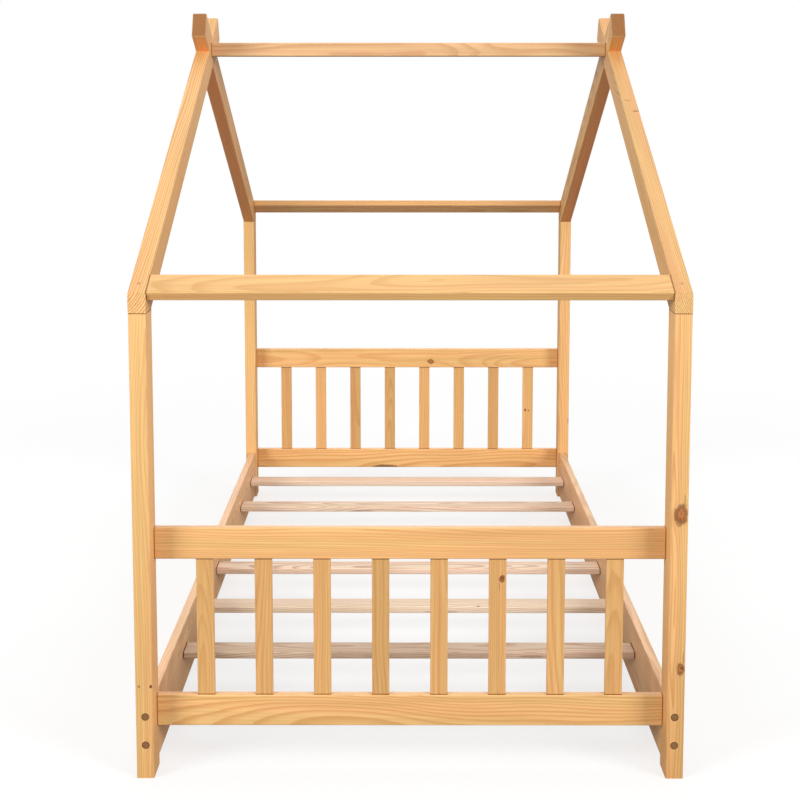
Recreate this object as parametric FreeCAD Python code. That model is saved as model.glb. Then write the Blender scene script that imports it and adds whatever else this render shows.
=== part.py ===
# House frame bed for a child, solid pine, all sizes in millimetres.
# It stands on z = 0 with its middle on the origin: X runs across the bed, Y along it,
# the foot end towards -Y and the head end towards +Y.  "Left" is -X, seen from the foot.
import FreeCAD
import Part
import math
import os

Vector = FreeCAD.Vector

# ---- Driving dimensions ------------------------------------------------------------

# Sleeping place, made for a 990 x 1905 mattress
clear_width = 1002.0          # between the two side rails
clear_length = 1918.0         # between the foot posts and the head posts

# Posts, square to the floor, one at each corner
post_width = 34.0             # along X, and the thickness of the rafters that stand on them
post_depth = 64.0             # along Y
post_height = 914.0

# Side rails, boards on edge between the posts
side_rail_thickness = 19.0
side_rail_height = 140.0
side_rail_floor_gap = 8.0
side_rail_setback = 4.0       # rail's inner face, outward of the posts' inner faces

# Slats, loose in mortises in the side rails
slat_count = 7
slat_width = 60.0
slat_thickness = 15.0
slat_bottom_height = 78.0
slat_housing = 12.0           # how far each end reaches into the rail
foot_slat_inset = 87.0        # middle of the first slat from the foot posts
head_slat_inset = 127.0       # middle of the last slat from the head posts
slot_end_clearance = 1.0
slot_foot_clearance = 3.0
slot_head_clearance = 1.0
slot_top_clearance = 1.5

# Footboard and headboard panels, alike and facing the same way
panel_rail_thickness = 19.0
panel_rail_height = 62.0
panel_recess = 42.0           # rail's front face behind the posts' front faces
bottom_rail_bottom_height = 88.0
top_rail_top_height = 487.0
baluster_count = 8
baluster_width = 34.0
baluster_thickness = 12.0
baluster_housing = 12.0       # how far each end reaches into its rail

# Roof frame
roof_pitch = 26.6             # degrees
rafter_depth = 64.0           # square to the slope
horn_reach = 122.0            # rafter's top edge beyond the crossing, along the slope
ridge_height = 34.0
ridge_depth = 64.0
ridge_lift = 24.0             # ridge's underside above the inner corner of the crossing
eave_beam_thickness = 19.0
eave_beam_width = 62.0

# Rounded long edges
frame_round = 3.0             # posts, rafters and ridge
board_round = 2.5             # rails and eave beams
slat_round = 2.0
baluster_round = 2.0

# Bed bolts through the posts into cross nuts in the side rails
bolt_diameter = 6.0
bolt_length = 100.0
bolt_head_diameter = 13.5
bolt_head_height = 3.0
bolt_socket_width = 4.0
bolt_socket_depth = 2.0
bolt_line_offset = 2.0        # outward of the side rail's mid thickness
lower_bolt_rise = 59.0        # above the side rail's lower edge
upper_bolt_drop = 24.0        # below the side rail's upper edge
bolt_tip_reach = 3.0          # tip beyond the cross nut
nut_diameter = 10.0
nut_length = 12.0
nut_slot_width = 1.5
nut_slot_depth = 1.5
plug_diameter = 15.0
plug_thickness = 4.0

# Screws with countersunk heads through the rafters into the beams
screw_diameter = 5.0
screw_length = 80.0
screw_head_diameter = 9.5
screw_head_height = 4.5
screw_socket_width = 4.0
screw_socket_depth = 3.0
screw_tip_length = 6.0
eave_screw_spread = 34.0
ridge_screw_spread = 32.0

# Thin screws down through the rafter feet into the post tops, under small plugs
foot_screw_diameter = 4.5
foot_screw_length = 90.0
foot_screw_head_diameter = 6.4
foot_screw_head_height = 4.0
foot_screw_head_rise = 30.0   # head's top above the post top
foot_screw_inset = 27.0       # from the post's outer end face

# Wooden dowels
dowel_diameter = 8.0
dowel_length = 40.0
dowel_bolt_wall = 2.0         # wood left between a panel dowel and a bed bolt's hole
panel_dowel_spread = 38.0
post_dowel_inset = 47.0       # from the post's outer end face

# Fits
drill_clearance = 0.2         # hole over the diameter of what it holds
bolt_hole_clearance = 1.0
hole_runout = 4.0             # blind hole beyond the tip
recess_clearance = 0.3        # between a bolt's head and its plug

# ---- Sizes that follow --------------------------------------------------------------

left, right = -1, 1
foot, head = -1, 1

half_clear_length = clear_length / 2
half_length = half_clear_length + post_depth
rail_inner_x = clear_width / 2
rail_outer_x = rail_inner_x + side_rail_thickness
post_inner_x = rail_inner_x - side_rail_setback
post_outer_x = post_inner_x + post_width
post_middle_x = (post_inner_x + post_outer_x) / 2
span_between_posts = 2 * post_inner_x

slope = math.radians(roof_pitch)
up_slope = Vector(0, math.cos(slope), math.sin(slope))
into_roof = Vector(0, math.sin(slope), -math.cos(slope))
plumb_top_height = post_height + rafter_depth / math.cos(slope) - post_depth * math.tan(slope)
top_crossing_height = plumb_top_height + half_length * math.tan(slope)
low_crossing_height = top_crossing_height - rafter_depth / math.cos(slope)
ridge_bottom_height = low_crossing_height + ridge_lift
ridge_middle_height = ridge_bottom_height + ridge_height / 2

side_rail_top_height = side_rail_floor_gap + side_rail_height
bolt_x = (rail_inner_x + rail_outer_x) / 2 + bolt_line_offset
bolt_heights = (side_rail_floor_gap + lower_bolt_rise, side_rail_top_height - upper_bolt_drop)
bolt_seat_inset = plug_thickness + recess_clearance + bolt_head_height
nut_inset = bolt_seat_inset + bolt_length - bolt_tip_reach - nut_diameter / 2
bolt_hole_diameter = bolt_diameter + bolt_hole_clearance
panel_dowel_outer_x = bolt_x - bolt_hole_diameter / 2 - dowel_bolt_wall
overshoot = 5.0               # cutting tools past the faces they open


# ---- Small helpers ------------------------------------------------------------------

def block(x_ends, y_ends, z_ends):
    """Box between two values on each axis, given in any order."""
    low = Vector(min(x_ends), min(y_ends), min(z_ends))
    high = Vector(max(x_ends), max(y_ends), max(z_ends))
    size = high - low
    return Part.makeBox(size.x, size.y, size.z, low)


def rod(diameter, length, start, direction):
    return Part.makeCylinder(diameter / 2, length, start, direction)


def ease(solid, direction, radius):
    """Rounds every straight edge that runs along the direction."""
    edges = []
    for edge in solid.Edges:
        along = edge.tangentAt(edge.FirstParameter)
        if along.cross(direction).Length < 1e-6:
            edges.append(edge)
    return solid.makeFillet(radius, edges)


def cut_all(solid, tools):
    for tool in tools:
        solid = solid.cut(tool)
    return solid


def hexagon_socket(width, depth, opening, direction):
    """Six-sided recess of the given width across flats, from its opening inwards."""
    corner_radius = width / math.sqrt(3)
    points = []
    for corner in range(7):
        angle = math.radians(60 * corner)
        points.append(Vector(corner_radius * math.cos(angle), corner_radius * math.sin(angle), 0))
    prism = Part.Face(Part.makePolygon(points)).extrude(Vector(0, 0, depth))
    prism.Placement = FreeCAD.Placement(opening, FreeCAD.Rotation(Vector(0, 0, 1), direction))
    return prism


def from_end(end, inset):
    """Y of a point this far inside the posts' outer end face."""
    return end * (half_length - inset)


def roof_point(end, along, below):
    """Point of the roof slope: distance up the slope from the eave, and depth under it."""
    local = up_slope * along + into_roof * below
    return from_end(end, local.y), plumb_top_height + local.z


# ---- Bed bolts, cross nuts and plugs ---------------------------------------------------

def bolt_places(side, end):
    """Points on the post's outer end face where its bolts go in, and the way they go."""
    inward = Vector(0, -end, 0)
    return [(Vector(side * bolt_x, from_end(end, 0), height), inward) for height in bolt_heights]


def bed_bolt(face_point, inward):
    seat = face_point + inward * bolt_seat_inset
    head_top = seat - inward * bolt_head_height
    bolt = rod(bolt_head_diameter, bolt_head_height, head_top, inward)
    bolt = bolt.fuse(rod(bolt_diameter, bolt_length, seat, inward))
    return bolt.cut(hexagon_socket(bolt_socket_width, bolt_socket_depth, head_top, inward))


def bed_bolt_hole(face_point, inward):
    wide = plug_diameter + drill_clearance
    recess = rod(wide, bolt_seat_inset + overshoot, face_point - inward * overshoot, inward)
    reach = bolt_seat_inset + bolt_length + hole_runout
    return recess.fuse(rod(bolt_hole_diameter, reach, face_point, inward))


def bolt_plug(face_point, inward):
    return rod(plug_diameter, plug_thickness, face_point, inward)


def nut_centre(face_point, inward):
    return face_point + inward * nut_inset


def cross_nut(side, face_point, inward):
    centre = nut_centre(face_point, inward)
    outward = Vector(side, 0, 0)
    inner_end = centre - outward * (nut_length / 2)
    nut = rod(nut_diameter, nut_length, inner_end, outward)
    thread = rod(bolt_diameter + drill_clearance, nut_diameter + overshoot,
                 centre - inward * ((nut_diameter + overshoot) / 2), inward)
    slot = block((inner_end.x, inner_end.x + side * nut_slot_depth),
                 (centre.y - nut_diameter, centre.y + nut_diameter),
                 (centre.z - nut_slot_width / 2, centre.z + nut_slot_width / 2))
    return nut.cut(thread).cut(slot)


def cross_nut_hole(side, face_point, inward):
    centre = nut_centre(face_point, inward)
    mouth = Vector(side * (rail_inner_x - overshoot), centre.y, centre.z)
    reach = bolt_x + nut_length / 2 - rail_inner_x + overshoot
    return rod(nut_diameter + drill_clearance, reach, mouth, Vector(side, 0, 0))


# ---- Countersunk screws through the rafters --------------------------------------------

def screw_body(head_point, direction, extra):
    """Countersunk screw, or with extra on its diameter the hole that holds it."""
    big = (screw_head_diameter + extra) / 2
    small = (screw_diameter + extra) / 2
    head_cone = Part.makeCone(big, small, screw_head_height, head_point, direction)
    shank_length = screw_length - screw_tip_length
    shank = rod(2 * small, shank_length, head_point, direction)
    tip_point = head_point + direction * shank_length
    tip = Part.makeCone(small, small / 4, screw_tip_length + extra, tip_point, direction)
    return head_cone.fuse([shank, tip]).removeSplitter()


def countersunk_screw(head_point, direction):
    screw = screw_body(head_point, direction, 0)
    return screw.cut(hexagon_socket(screw_socket_width, screw_socket_depth, head_point, direction))


def countersunk_hole(head_point, direction):
    return screw_body(head_point, direction, drill_clearance)


def eave_screw_places(side, end):
    """Where the screws into one end of an eave beam start on the rafter's outer face."""
    places = []
    for offset in (-eave_screw_spread / 2, eave_screw_spread / 2):
        y, z = roof_point(end, eave_beam_width / 2 + offset, eave_beam_thickness / 2)
        places.append((Vector(side * post_outer_x, y, z), Vector(-side, 0, 0)))
    return places


def ridge_screw_places(side):
    """Where the screws into one end of the ridge start, on the lapped rafters' outer face."""
    places = []
    for y in (-ridge_screw_spread / 2, ridge_screw_spread / 2):
        places.append((Vector(side * post_outer_x, y, ridge_middle_height), Vector(-side, 0, 0)))
    return places


# ---- Rafter feet: thin screw, its plug and a dowel ---------------------------------------

down = Vector(0, 0, -1)


def foot_screw_top(side, end):
    height = post_height + foot_screw_head_rise
    return Vector(side * post_middle_x, from_end(end, foot_screw_inset), height)


def foot_screw(side, end, extra=0.0):
    """Thin screw from the rafter into the post, or with extra the hole that holds it."""
    top = foot_screw_top(side, end)
    top_rod = rod(foot_screw_head_diameter + extra, foot_screw_head_height, top, down)
    return top_rod.fuse(rod(foot_screw_diameter + extra, foot_screw_length + extra, top, down))


def foot_screw_hole(side, end):
    top = foot_screw_top(side, end)
    shaft = rod(foot_screw_head_diameter + drill_clearance, rafter_depth, top, down * -1)
    return foot_screw(side, end, drill_clearance).fuse(shaft)


def foot_screw_plug(side, end):
    """Plug above the thin screw, trimmed to the slope of the rafter's top edge."""
    top = foot_screw_top(side, end)
    plug = rod(foot_screw_head_diameter, rafter_depth, top, down * -1)
    return plug.common(rafter_bar(side, end))


def post_dowel(side, end, extra=0.0):
    y = from_end(end, post_dowel_inset)
    start = Vector(side * post_middle_x, y, post_height + (dowel_length + extra) / 2)
    return rod(dowel_diameter + extra, dowel_length + extra, start, down)


# ---- Dowels between the panel rails and the posts ------------------------------------------

def panel_middle_y(end):
    """Both panels sit the same way round, measured from their posts' foot-facing faces."""
    front_face = from_end(foot, 0) if end == foot else half_clear_length
    return front_face + panel_recess + panel_rail_thickness / 2


def panel_rail_bottoms():
    return (bottom_rail_bottom_height, top_rail_top_height - panel_rail_height)


def panel_dowels(side, end, bottom_height, extra=0.0):
    """The two dowels at one end of a panel rail, or with extra their holes."""
    middle_height = bottom_height + panel_rail_height / 2
    dowels = []
    for offset in (-panel_dowel_spread / 2, panel_dowel_spread / 2):
        start = Vector(side * (panel_dowel_outer_x + extra), panel_middle_y(end), middle_height + offset)
        dowels.append(rod(dowel_diameter + extra, dowel_length + 2 * extra, start, Vector(-side, 0, 0)))
    return dowels


# ---- Wooden pieces ----------------------------------------------------------------------

def post(side, end):
    solid = block((side * post_inner_x, side * post_outer_x),
                  (from_end(end, 0), from_end(end, post_depth)), (0, post_height))
    solid = ease(solid, Vector(0, 0, 1), frame_round)
    holes = [bed_bolt_hole(*place) for place in bolt_places(side, end)]
    for bottom_height in panel_rail_bottoms():
        holes += panel_dowels(side, end, bottom_height, drill_clearance)
    holes += [foot_screw_hole(side, end), post_dowel(side, end, drill_clearance)]
    return cut_all(solid, holes)


def rafter_bar(side, end):
    """Whole rafter with square edges: flat seat on the post, plumb cut at the eave, horn."""
    crossing_length = half_length / math.cos(slope)
    horn_top = roof_point(end, crossing_length + horn_reach, 0)
    horn_bottom = roof_point(end, crossing_length + horn_reach, rafter_depth)
    outline = [(from_end(end, 0), post_height), (from_end(end, post_depth), post_height),
               horn_bottom, horn_top, (from_end(end, 0), plumb_top_height)]
    points = [Vector(side * post_inner_x, y, z) for y, z in outline]
    points.append(points[0])
    return Part.Face(Part.makePolygon(points)).extrude(Vector(side * post_width, 0, 0))


def rafter(side, end):
    """Rafter lapped half and half with its partner: the foot one runs on at the inside."""
    slope_line = Vector(0, -end * math.cos(slope), math.sin(slope))
    solid = ease(rafter_bar(side, end), slope_line, frame_round)
    outer_half_end = post_outer_x + overshoot
    inner_half_end = post_inner_x - overshoot
    lap_end = outer_half_end if end == foot else inner_half_end
    lap_half = block((side * post_middle_x, side * lap_end), (-half_length, half_length),
                     (post_height, 2 * top_crossing_height))
    solid = solid.cut(rafter_bar(side, -end).common(lap_half))
    holes = [countersunk_hole(*place) for place in eave_screw_places(side, end)]
    holes += [countersunk_hole(*place) for place in ridge_screw_places(side)]
    holes += [foot_screw_hole(side, end), post_dowel(side, end, drill_clearance)]
    return cut_all(solid, holes)


def ridge_beam():
    solid = block((-post_inner_x, post_inner_x), (-ridge_depth / 2, ridge_depth / 2),
                  (ridge_bottom_height, ridge_bottom_height + ridge_height))
    solid = ease(solid, Vector(1, 0, 0), frame_round)
    places = ridge_screw_places(left) + ridge_screw_places(right)
    return cut_all(solid, [countersunk_hole(*place) for place in places])


def eave_beam(end):
    """Board between the rafters, its upper face in the plane of their top edges."""
    corners = [(0, 0), (eave_beam_width, 0), (eave_beam_width, eave_beam_thickness),
               (0, eave_beam_thickness), (0, 0)]
    points = []
    for along, below in corners:
        y, z = roof_point(end, along, below)
        points.append(Vector(-post_inner_x, y, z))
    solid = Part.Face(Part.makePolygon(points)).extrude(Vector(span_between_posts, 0, 0))
    solid = ease(solid, Vector(1, 0, 0), board_round)
    places = eave_screw_places(left, end) + eave_screw_places(right, end)
    return cut_all(solid, [countersunk_hole(*place) for place in places])


def slat_middle_y(number):
    pitch = (clear_length - foot_slat_inset - head_slat_inset) / (slat_count - 1)
    return -half_clear_length + foot_slat_inset + number * pitch


def slat(number):
    half_slat_length = rail_inner_x + slat_housing
    middle = slat_middle_y(number)
    solid = block((-half_slat_length, half_slat_length),
                  (middle - slat_width / 2, middle + slat_width / 2),
                  (slat_bottom_height, slat_bottom_height + slat_thickness))
    return ease(solid, Vector(1, 0, 0), slat_round)


def slat_mortise(side, number):
    middle = slat_middle_y(number)
    return block((side * (rail_inner_x - overshoot),
                  side * (rail_inner_x + slat_housing + slot_end_clearance)),
                 (middle - slat_width / 2 - slot_foot_clearance,
                  middle + slat_width / 2 + slot_head_clearance),
                 (slat_bottom_height, slat_bottom_height + slat_thickness + slot_top_clearance))


def side_rail(side):
    solid = block((side * rail_inner_x, side * rail_outer_x),
                  (-half_clear_length, half_clear_length), (side_rail_floor_gap, side_rail_top_height))
    solid = ease(solid, Vector(0, 1, 0), board_round)
    holes = [slat_mortise(side, number) for number in range(slat_count)]
    for end in (foot, head):
        for place in bolt_places(side, end):
            holes.append(bed_bolt_hole(*place))
            holes.append(cross_nut_hole(side, *place))
    return cut_all(solid, holes)


def baluster_x(number):
    """Equal gaps between the posts and all the balusters."""
    gap = (span_between_posts - baluster_count * baluster_width) / (baluster_count + 1)
    return -post_inner_x + gap + baluster_width / 2 + number * (gap + baluster_width)


def baluster_block(end, number):
    bottom, top = panel_rail_bottoms()
    middle = baluster_x(number)
    y = panel_middle_y(end)
    return block((middle - baluster_width / 2, middle + baluster_width / 2),
                 (y - baluster_thickness / 2, y + baluster_thickness / 2),
                 (bottom + panel_rail_height - baluster_housing, top + baluster_housing))


def baluster(end, number):
    return ease(baluster_block(end, number), Vector(0, 0, 1), baluster_round)


def panel_rail(end, bottom_height):
    y = panel_middle_y(end)
    solid = block((-post_inner_x, post_inner_x),
                  (y - panel_rail_thickness / 2, y + panel_rail_thickness / 2),
                  (bottom_height, bottom_height + panel_rail_height))
    solid = ease(solid, Vector(1, 0, 0), board_round)
    holes = [baluster_block(end, number) for number in range(baluster_count)]
    for side in (left, right):
        holes += panel_dowels(side, end, bottom_height, drill_clearance)
    return cut_all(solid, holes)


# ---- Put the bed together --------------------------------------------------------------

def wooden_nodes():
    side_names = {left: "left", right: "right"}
    end_names = {foot: "foot", head: "head"}
    nodes = {"ridge_beam": ridge_beam()}
    for end, end_name in end_names.items():
        for side, side_name in side_names.items():
            nodes[f"{end_name}_{side_name}_post"] = post(side, end)
            nodes[f"{end_name}_{side_name}_rafter"] = rafter(side, end)
        nodes[f"{end_name}_eave_beam"] = eave_beam(end)
        bottom, top = panel_rail_bottoms()
        nodes[f"{end_name}board_bottom_rail"] = panel_rail(end, bottom)
        nodes[f"{end_name}board_top_rail"] = panel_rail(end, top)
        for number in range(baluster_count):
            nodes[f"{end_name}board_baluster_{number + 1}"] = baluster(end, number)
    for side, side_name in side_names.items():
        nodes[f"{side_name}_side_rail"] = side_rail(side)
    for number in range(slat_count):
        nodes[f"slat_{number + 1}"] = slat(number)
    return nodes


def hardware_nodes():
    """Fasteners that are alike share a node, each still a solid of its own."""
    groups = {name: [] for name in ("bed_bolts", "cross_nuts", "bolt_plugs", "eave_screws",
                                    "ridge_screws", "rafter_foot_screws", "rafter_foot_plugs",
                                    "rafter_foot_dowels", "panel_rail_dowels")}
    for side in (left, right):
        groups["ridge_screws"] += [countersunk_screw(*place) for place in ridge_screw_places(side)]
        for end in (foot, head):
            for place in bolt_places(side, end):
                groups["bed_bolts"].append(bed_bolt(*place))
                groups["cross_nuts"].append(cross_nut(side, *place))
                groups["bolt_plugs"].append(bolt_plug(*place))
            groups["eave_screws"] += [countersunk_screw(*place) for place in eave_screw_places(side, end)]
            groups["rafter_foot_screws"].append(foot_screw(side, end))
            groups["rafter_foot_plugs"].append(foot_screw_plug(side, end))
            groups["rafter_foot_dowels"].append(post_dowel(side, end))
            for bottom_height in panel_rail_bottoms():
                groups["panel_rail_dowels"] += panel_dowels(side, end, bottom_height)
    return groups


def write_node(name, solids):
    for solid in solids:
        if not solid.isValid() or solid.Volume <= 0:
            raise ValueError(f"{name} has a solid that is not closed")
    shape = solids[0] if len(solids) == 1 else Part.makeCompound(solids)
    shape.exportStep(f"parts/{name}.step")
    print(f"{name}: {len(solids)} solid(s), {shape.Volume / 1000:.1f} cm3")


os.makedirs("parts", exist_ok=True)
for node_name, node_shape in wooden_nodes().items():
    write_node(node_name, node_shape.Solids)
for node_name, node_solids in hardware_nodes().items():
    write_node(node_name, [solid for piece in node_solids for solid in piece.Solids])
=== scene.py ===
# House frame bed in clear-lacquered pine: finishes, repeated pieces, studio and camera.
import math
import bpy
from mathutils import Matrix, Vector


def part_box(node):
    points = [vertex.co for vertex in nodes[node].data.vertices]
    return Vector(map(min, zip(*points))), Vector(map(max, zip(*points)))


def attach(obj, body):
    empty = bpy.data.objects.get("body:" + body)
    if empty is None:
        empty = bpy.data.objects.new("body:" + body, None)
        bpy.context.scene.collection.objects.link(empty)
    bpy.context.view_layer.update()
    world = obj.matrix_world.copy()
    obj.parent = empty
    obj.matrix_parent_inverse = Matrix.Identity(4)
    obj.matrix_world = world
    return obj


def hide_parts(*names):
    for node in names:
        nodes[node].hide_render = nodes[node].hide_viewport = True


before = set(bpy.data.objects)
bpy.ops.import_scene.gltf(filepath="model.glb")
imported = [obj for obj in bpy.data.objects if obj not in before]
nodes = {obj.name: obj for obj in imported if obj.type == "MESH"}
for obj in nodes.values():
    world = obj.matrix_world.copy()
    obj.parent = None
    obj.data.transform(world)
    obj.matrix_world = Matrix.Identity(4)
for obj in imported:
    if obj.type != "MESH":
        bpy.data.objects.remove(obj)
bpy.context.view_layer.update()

print("frame loaded:", len(nodes), "nodes")


def paint(red, green, blue):
    # 8-bit display colour to scene-linear RGBA
    def linear(value):
        share = value / 255
        return share / 12.92 if share <= 0.04045 else ((share + 0.055) / 1.055) ** 2.4
    return (linear(red), linear(green), linear(blue), 1.0)


# Node helpers, for shaders and geometry alike

def feed(tree, socket, value):
    # a socket makes a link, None leaves the default
    if value is None:
        return
    if isinstance(value, bpy.types.NodeSocket):
        tree.links.new(value, socket)
    else:
        socket.default_value = value


def addNode(tree, kind, *values, **settings):
    # values feed the node's sockets in order
    node = tree.nodes.new(kind)
    for name, value in settings.items():
        setattr(node, name, value)
    for socket, value in zip([s for s in node.inputs if s.enabled], values):
        feed(tree, socket, value)
    return node


def addNamed(tree, kind, inputs, **settings):
    # the same, with the sockets picked by name
    node = addNode(tree, kind, **settings)
    for name, value in inputs.items():
        feed(tree, node.inputs[name], value)
    return node


def maths(tree, operation, *values, clamp=False):
    return addNode(tree, "ShaderNodeMath", *values, operation=operation, use_clamp=clamp).outputs[0]


def vectorMaths(tree, operation, *values):
    node = addNode(tree, "ShaderNodeVectorMath", operation=operation)
    for socket, value in zip(node.inputs, values):
        feed(tree, socket, value)
    return node.outputs["Value"] if operation in ("LENGTH", "DOT_PRODUCT") else node.outputs["Vector"]


def noiseTexture(tree, vector, scale=1.0, detail=2.0, roughness=0.5):
    settings = {"Vector": vector, "Scale": scale, "Detail": detail, "Roughness": roughness}
    return addNamed(tree, "ShaderNodeTexNoise", settings).outputs


def smoothStep(tree, value, low, high):
    node = addNamed(tree, "ShaderNodeMapRange", {"Value": value, "From Min": low, "From Max": high},
                    interpolation_type="SMOOTHSTEP")
    return node.outputs["Result"]


def mixColour(tree, blend, share, first, second):
    node = addNode(tree, "ShaderNodeMix", data_type="RGBA", blend_type=blend)
    for index, value in ((0, share), (6, first), (7, second)):
        feed(tree, node.inputs[index], value)
    return node.outputs[2]


def mixFloat(tree, share, first, second):
    span = maths(tree, "SUBTRACT", second, first)
    return maths(tree, "MULTIPLY_ADD", span, share, first)


floatSocket, vectorSocket, colourSocket = "NodeSocketFloat", "NodeSocketVector", "NodeSocketColor"
wholeSocket, shapeSocket, finishSocket = "NodeSocketInt", "NodeSocketGeometry", "NodeSocketMaterial"


def startGroup(name, kind, inputs, outputs):
    # inputs and outputs are lists of (name, socket type, default)
    tree = bpy.data.node_groups.new(name, kind)
    for direction, sockets in (("INPUT", inputs), ("OUTPUT", outputs)):
        for label, socketType, default in sockets:
            socket = tree.interface.new_socket(name=label, in_out=direction, socket_type=socketType)
            if default is not None:
                socket.default_value = default
    source = tree.nodes.new("NodeGroupInput")
    target = tree.nodes.new("NodeGroupOutput")
    return tree, source.outputs, target.inputs


def placeGroup(tree, group, **inputs):
    # an underscore in a keyword stands for the space in the socket's name
    node = tree.nodes.new("ShaderNodeGroup")
    node.node_tree = group
    for name, value in inputs.items():
        feed(tree, node.inputs[name.replace("_", " ")], value)
    return node.outputs


def newMaterial(name):
    material = bpy.data.materials.new(name)
    material.use_nodes = True
    return material, material.node_tree, material.node_tree.nodes["Principled BSDF"]


def addRelief(tree, shader, height, strength, depth):
    bump = addNamed(tree, "ShaderNodeBump", {"Strength": strength, "Distance": depth, "Height": height})
    feed(tree, shader.inputs["Normal"], bump.outputs["Normal"])


def objectPlace(tree):
    return addNode(tree, "ShaderNodeTexCoord").outputs["Object"]


# Shared shader groups

knotLook = {
    "alongGrain": 0.68,   # below 1 draws the knot out along the grain
    "raggedScale": 95.0, "raggedness": (1.1, 0.5),
    "streaks": (160.0, 520.0, 160.0), "split": (0.45, 0.62),
    "core": (1.1, 0.75), "rimOutside": (1.7, 1.05), "rimInside": (0.62, 0.95),
    "rimStrength": 0.9, "heartStrength": 0.85,
}


def makeKnotGroup():
    # A branch stub through the board: the grain parts round it, its ragged rim is dark, its heart streaky
    tree, given, result = startGroup(
        "knot", "ShaderNodeTree",
        [("Vector", vectorSocket, None), ("Centre", vectorSocket, None), ("Radius", floatSocket, 0.01)],
        [("Vector", vectorSocket, None), ("Core", floatSocket, None), ("Rim", floatSocket, None)])
    away = vectorMaths(tree, "SUBTRACT", given["Vector"], given["Centre"])
    flat = vectorMaths(tree, "MULTIPLY", away, (knotLook["alongGrain"], 1.0, 0.0))
    wobble = noiseTexture(tree, given["Vector"], knotLook["raggedScale"], 3.0)["Fac"]
    ragged = maths(tree, "MULTIPLY_ADD", wobble, *knotLook["raggedness"])
    reach = maths(tree, "MULTIPLY", vectorMaths(tree, "LENGTH", flat), ragged)
    ratio = maths(tree, "DIVIDE", reach, given["Radius"])
    around = maths(tree, "SUBTRACT", 1.0, maths(tree, "DIVIDE", 1.0, maths(tree, "POWER", ratio, 2.0)))
    parting = maths(tree, "MAXIMUM", around, 0.0)
    parts = addNode(tree, "ShaderNodeSeparateXYZ", away).outputs
    parted = maths(tree, "MULTIPLY", parts[1], parting)
    bent = addNode(tree, "ShaderNodeCombineXYZ", parts[0], parted, parts[2])
    feed(tree, result["Vector"], vectorMaths(tree, "ADD", bent.outputs[0], given["Centre"]))
    streaks = noiseTexture(tree, vectorMaths(tree, "MULTIPLY", away, knotLook["streaks"]))["Fac"]
    core = smoothStep(tree, ratio, *knotLook["core"])
    feed(tree, result["Core"], core)
    rim = maths(tree, "MULTIPLY", smoothStep(tree, ratio, *knotLook["rimOutside"]),
                smoothStep(tree, ratio, *knotLook["rimInside"]))
    heart = maths(tree, "MULTIPLY", core, smoothStep(tree, streaks, *knotLook["split"]))
    feed(tree, result["Rim"], maths(tree, "MAXIMUM", maths(tree, "MULTIPLY", rim, knotLook["rimStrength"]),
                                    maths(tree, "MULTIPLY", heart, knotLook["heartStrength"])))
    return tree


markLook = {"raggedScale": 160.0, "raggedness": (0.6, 0.7), "edge": (1.1, 0.6)}


def makeMarkGroup():
    # A soft-edged stain, pin hole or bruise, as long and wide as Size
    tree, given, result = startGroup(
        "boardMark", "ShaderNodeTree",
        [("Vector", vectorSocket, None), ("Centre", vectorSocket, None), ("Size", vectorSocket, (1, 1, 1))],
        [("Mask", floatSocket, None)])
    away = vectorMaths(tree, "SUBTRACT", given["Vector"], given["Centre"])
    reach = vectorMaths(tree, "LENGTH", vectorMaths(tree, "DIVIDE", away, given["Size"]))
    wobble = noiseTexture(tree, given["Vector"], markLook["raggedScale"])["Fac"]
    ragged = maths(tree, "MULTIPLY", reach, maths(tree, "MULTIPLY_ADD", wobble, *markLook["raggedness"]))
    feed(tree, result["Mask"], smoothStep(tree, ragged, *markLook["edge"]))
    return tree


pineGrain = {
    "pith": ((30.0, 0.0), (0.09, -0.045), (0.07, 0.018)),   # random span and start, per direction
    "wander": 0.055, "wanderStretch": (1.6, 5.0, 5.0),
    "ripple": 0.0022, "rippleStretch": (7.0, 45.0, 45.0),
    "yearScale": 55.0, "yearShift": 1.8, "lateWood": (0.35, 0.9), "winter": (1.0, 0.93),
    "fibreStretch": (9.0, 700.0, 700.0), "strandStretch": (3.0, 170.0, 170.0),
    "cloudStretch": (1.3, 9.0, 9.0), "hueStretch": (0.9, 38.0, 38.0),
    "strandFigure": (0.9, 0.55), "endFigure": (0.9, 1.0),
    "strandLight": (0.4, 0.8), "fibreLight": (0.2, 0.9), "cloudLight": (0.4, 0.8),
    "greenPower": 1.2, "bluePower": 1.5,   # darker wood turns redder
    "hueRange": (0.38, 0.66), "hueShare": 0.55, "warm": paint(255, 243, 232), "cool": paint(244, 250, 232),
    "roughness": (0.16, 0.38), "relief": 0.5,
}
# over the clean wood, in this order: blend, share and colour, where None is the board's own end colour; the
# dark knot rim colour also takes the marks, some of them painted shade, the joint line is painted shade and
# the lighter worn edge is wear with a painted highlight
woodTints = {
    "Knot Core": ("MIX", 0.82, paint(176, 98, 42)), "Knot Rim": ("MIX", 0.8, paint(104, 56, 26)),
    "End Grain": ("MULTIPLY", 1.0, None), "Edge": ("MIX", 0.18, paint(255, 228, 178)),
    "Seam": ("MULTIPLY", 1.0, paint(150, 108, 74)),
}
duller = {"End Grain": 0.25, "Bare": 0.28, "Edge": -0.06}   # added roughness


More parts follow.
